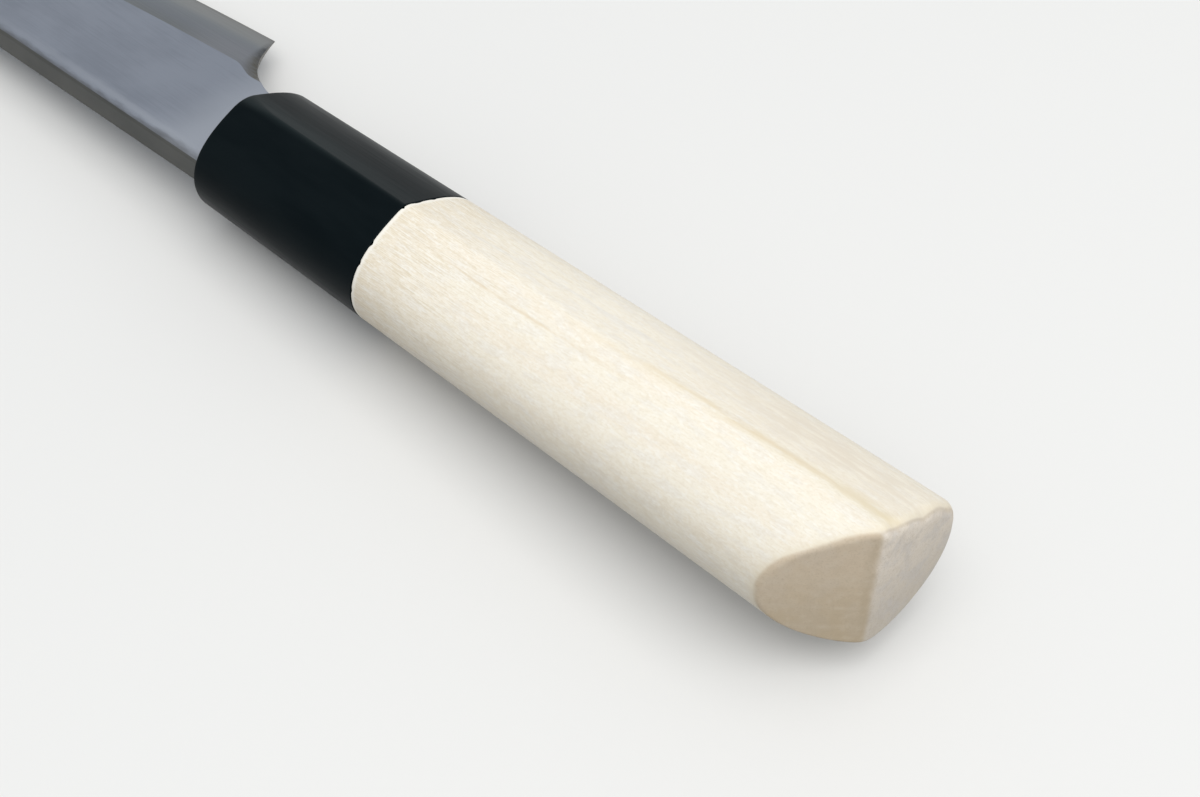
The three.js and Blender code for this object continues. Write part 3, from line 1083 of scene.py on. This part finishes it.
def blackHorn():
    material, tree, shader, along = newMaterial("blackHorn")
    part = splitPlace(tree, along)
    cloudy = mapRange(tree, placeGroup(tree, softClouds, along, horn["cloud"]), *horn["cloudy"])
    colour = mixColour(tree, cloudy, horn["dark"], horn["light"])
    # painted sheen beside the ridge
    ridgeSheen = multiplyRanges(tree, *[(part[axis], levels) for axis, levels in horn["ridgeSheenRanges"]])
    colour = mixColour(tree, ridgeSheen, colour, horn["streak"])
    specks = placeGroup(tree, tinySpecks, along, horn["specks"])
    colour = mixColour(tree, calculate(tree, "MULTIPLY", specks, horn["dusty"]), colour, horn["dust"])
    polish = placeGroup(tree, lengthwiseMarks, along, horn["polish"])
    finishSurface(tree, shader, colour, polish, horn)
    shader.inputs["Specular IOR Level"].default_value = horn["specular"]
    shader.inputs["Specular Tint"].default_value = (*horn["sheen"], 1)
    return material


# blade metals: ground flat with painted highlights and shade, hazed bevel that brightens to the edge with
# painted shade beside the notch, rougher notch, and a rougher spine darkened partly by a painted dark
# reflection
metals = {
    "flat": {
        "low": (0.200, 0.225, 0.273),
        "high": (0.242, 0.270, 0.324),
        "roughness": (0.38, 0.47),
        "lines": {"Width": 0.26, "Length": 9.0},
    },
    # the spine's dark colour is partly its rougher finish, partly a painted dark reflection
    "spine": {
        "low": (0.073, 0.076, 0.074),
        "high": (0.098, 0.10, 0.096),
        "roughness": (0.42, 0.51),
        "lines": {"Width": 0.22, "Length": 30.0},
    },
    "bevel": {
        "roughness": (0.36, 0.45),
        "lines": {"Width": 0.35, "Length": 18.0},
    },
    "notch": {
        "low": (0.125, 0.122, 0.112),
        "high": (0.18, 0.176, 0.163),
        "roughness": (0.46, 0.55),
        "lines": {"Width": 0.5, "Length": 2.0},
    },
}
metalFinish = {
    "detail": 3.0,
    "cloud": {"Size": 9.0, "Stretch": 1.6},
    "lineShare": 0.4,
    "levels": (0.35, 0.65, 0.0, 1.0),
    "relief": (0.1, 0.02),
}
# painted light on the flat: painted shade right at the spine's corner, a painted highlight in a band beside
# it, and brighter near the ferrule
flatPaintedLight = {
    "bright": (0.335, 0.365, 0.42),
    "nearFerrule": (5.0, 16.5, 0.9, 0.0),
    "highlightWander": {"Size": 0.8, "Stretch": 3.6},
    "ragged": (-0.28, 0.28),
    "band": 1.9,
    "bandAcross": (0.0, 1.7, 1.0, 0.0),
    "bandAlong": (0.0, 55.0, 0.75, 0.2),
    "corner": (0.095, 0.10, 0.105),
    "cornerWidth": (8.0, 17.0, 2.3, 1.5),
    "cornerShare": 0.75,
}
bevelLook = {
    "ramp": [
        (0.00, (0.12, 0.135, 0.147)), (0.30, (0.132, 0.15, 0.177)), (0.58, (0.155, 0.175, 0.197)),
        (0.74, (0.205, 0.218, 0.225)), (0.92, (0.208, 0.216, 0.22)), (0.995, (0.178, 0.181, 0.182)),
    ],
    "cloudWander": 0.14,
    "lineWander": 0.08,
    "heel": (0.172, 0.185, 0.213),
    "heelAlong": (34.0, 21.0, 0.0, 1.0),
    "heelAcross": (0.3, 0.7, 0.8, 0.0),
    # painted shade on the bevel beside the notch: its darkest and olive colours, how it changes across, its
    # patchiness and its reach
    "dark": (0.048, 0.052, 0.058),
    "olive": (0.072, 0.07, 0.058),
    "oliveAcross": (0.2, 0.5, 0.0, 1.0),
    "shadeClouds": {"Size": 0.7, "Stretch": 1.6},
    "shadeCloudLevels": (0.35, 0.6, 0.72, 1.05),
    "nearNotch": (0.15, 1.1, 1.0, 0.0),
    "nearAcross": (0.55, 0.95, 1.0, 0.15),
}


def groundLines(tree, along, look):
    lines = placeGroup(tree, lengthwiseMarks, along, {**look["lines"], "Detail": metalFinish["detail"]})
    return lines, placeGroup(tree, softClouds, along, metalFinish["cloud"])


def finishMetal(tree, shader, colour, lines, look):
    finishSurface(tree, shader, colour, lines, {**look, "relief": metalFinish["relief"]})
    shader.inputs["Metallic"].default_value = 1.0


# paints the flat's highlight band, its shade at the spine's corner and its brightening near the ferrule
def paintFlatLightAndShade(tree, along, colour):
    far = splitPlace(tree, along)["X"]
    colour = mixColour(tree, mapRange(tree, far, *flatPaintedLight["nearFerrule"]), colour, flatPaintedLight["bright"])
    # the painted highlight's band wanders a little along its length
    highlightWander = placeGroup(tree, softClouds, along, flatPaintedLight["highlightWander"])
    highlightWander = mapRange(tree, highlightWander, *noiseSpan, *flatPaintedLight["ragged"], smooth=False)
    fromSpine = calculate(tree, "ADD", readMark(tree, "fromSpine"), highlightWander)
    away = distance(tree, fromSpine, flatPaintedLight["band"])
    band = multiplyRanges(tree, (away, flatPaintedLight["bandAcross"]), (far, flatPaintedLight["bandAlong"]))
    colour = mixColour(tree, band, colour, flatPaintedLight["bright"])
    cornerWidth = mapRange(tree, far, *flatPaintedLight["cornerWidth"])
    corner = mapRange(tree, fromSpine, 0.0, cornerWidth, flatPaintedLight["cornerShare"], 0.0)
    return mixColour(tree, corner, colour, flatPaintedLight["corner"])


def metalMaterial(name, look, withPaintedFlatLight=False):
    material, tree, shader, along = newMaterial(name)
    lines, cloud = groundLines(tree, along, look)
    lineShare = metalFinish["lineShare"]
    cloudy = calculate(tree, "MULTIPLY", cloud, 1 - lineShare)
    share = calculate(tree, "MULTIPLY_ADD", lines, lineShare, cloudy)
    colour = mixColour(tree, mapRange(tree, share, *metalFinish["levels"]), look["low"], look["high"])
    # the flat gets its painted highlights and shade
    if withPaintedFlatLight:
        colour = paintFlatLightAndShade(tree, along, colour)
    finishMetal(tree, shader, colour, lines, look)
    return material


def bevelMaterial(name, look):
    material, tree, shader, along = newMaterial(name)
    lines, cloud = groundLines(tree, along, look)
    across = readMark(tree, "bevelShare")
    wander = across
    for value, swing in ((cloud, bevelLook["cloudWander"]), (lines, bevelLook["lineWander"])):
        middle = calculate(tree, "SUBTRACT", wander, swing / 2)
        wander = calculate(tree, "MULTIPLY_ADD", value, swing, middle)
    ramp = addNode(tree, "ShaderNodeValToRGB", {"Fac": wander})
    stops = ramp.color_ramp.elements
    while len(stops) < len(bevelLook["ramp"]):
        stops.new(0.5)
    for stop, (place, tint) in zip(stops, bevelLook["ramp"]):
        stop.position = place
        stop.color = (*tint, 1)
    far = splitPlace(tree, along)["X"]
    heel = multiplyRanges(tree, (far, bevelLook["heelAlong"]), (across, bevelLook["heelAcross"]))
    colour = mixColour(tree, heel, ramp.outputs["Color"], bevelLook["heel"])
    # painted shade on the bevel beside the notch, patchy, olive then darker across the bevel
    width = mapRange(tree, across, 0.0, 1.0, *notch["dipWidth"], smooth=False)
    near = multiplyRanges(
        tree,
        (calculate(tree, "DIVIDE", readMark(tree, "fromNotch"), width), bevelLook["nearNotch"]),
        (placeGroup(tree, softClouds, along, bevelLook["shadeClouds"]), bevelLook["shadeCloudLevels"]),
        (across, bevelLook["nearAcross"]),
    )
    darker = mapRange(tree, across, *bevelLook["oliveAcross"])
    paintedNotchShade = mixColour(tree, darker, bevelLook["olive"], bevelLook["dark"])
    finishMetal(tree, shader, mixColour(tree, near, colour, paintedNotchShade), lines, look)
    return material


bladeMetals = [
    metalMaterial("groundFlat", metals["flat"], withPaintedFlatLight=True),
    metalMaterial("roughSpine", metals["spine"]),
    bevelMaterial("hazedBevel", metals["bevel"]),
    metalMaterial("filedNotch", metals["notch"]),
]
facing = {"spine": 0.5, "up": 0.6, "bevel": -0.1}


# which of the blade's metals an iron face has, by where it looks before the knife is laid down
def ironFace(normal):
    if normal.y > facing["spine"]:
        return 1
    if normal.z > facing["up"]:
        return 2 if normal.y < facing["bevel"] else 0
    return 3 if normal.z > -facing["up"] else 0


# the upper side of the steel is all bevel
def steelFace(normal):
    if normal.z > facing["up"] and normal.y <= facing["spine"]:
        return 2
    return ironFace(normal)


def dress(piece, materials, choose):
    for material in materials:
        piece.data.materials.append(material)
    for face in piece.data.polygons:
        face.material_index = choose(face.normal)


dress(woodGrip, [magnoliaWood()], lambda normal: 0)
dress(hornFerrule, [blackHorn()], lambda normal: 0)
dress(ironBlade, bladeMetals, ironFace)
dress(edgeSteel, bladeMetals, steelFace)
print("materials made")

for piece, node, slot, crease in (
    (woodGrip, "wooden_grip", "magnolia_wood", 30),
    (hornFerrule, "ferrule", "black_ferrule", 35),
    (ironBlade, "iron_blade_and_tang", "soft_iron", 9),
    (edgeSteel, "edge_steel", "hard_steel", 9),
):
    layDown(piece, crease)
    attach(piece, "root")
    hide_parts(node)
print("pieces laid down and dressed")
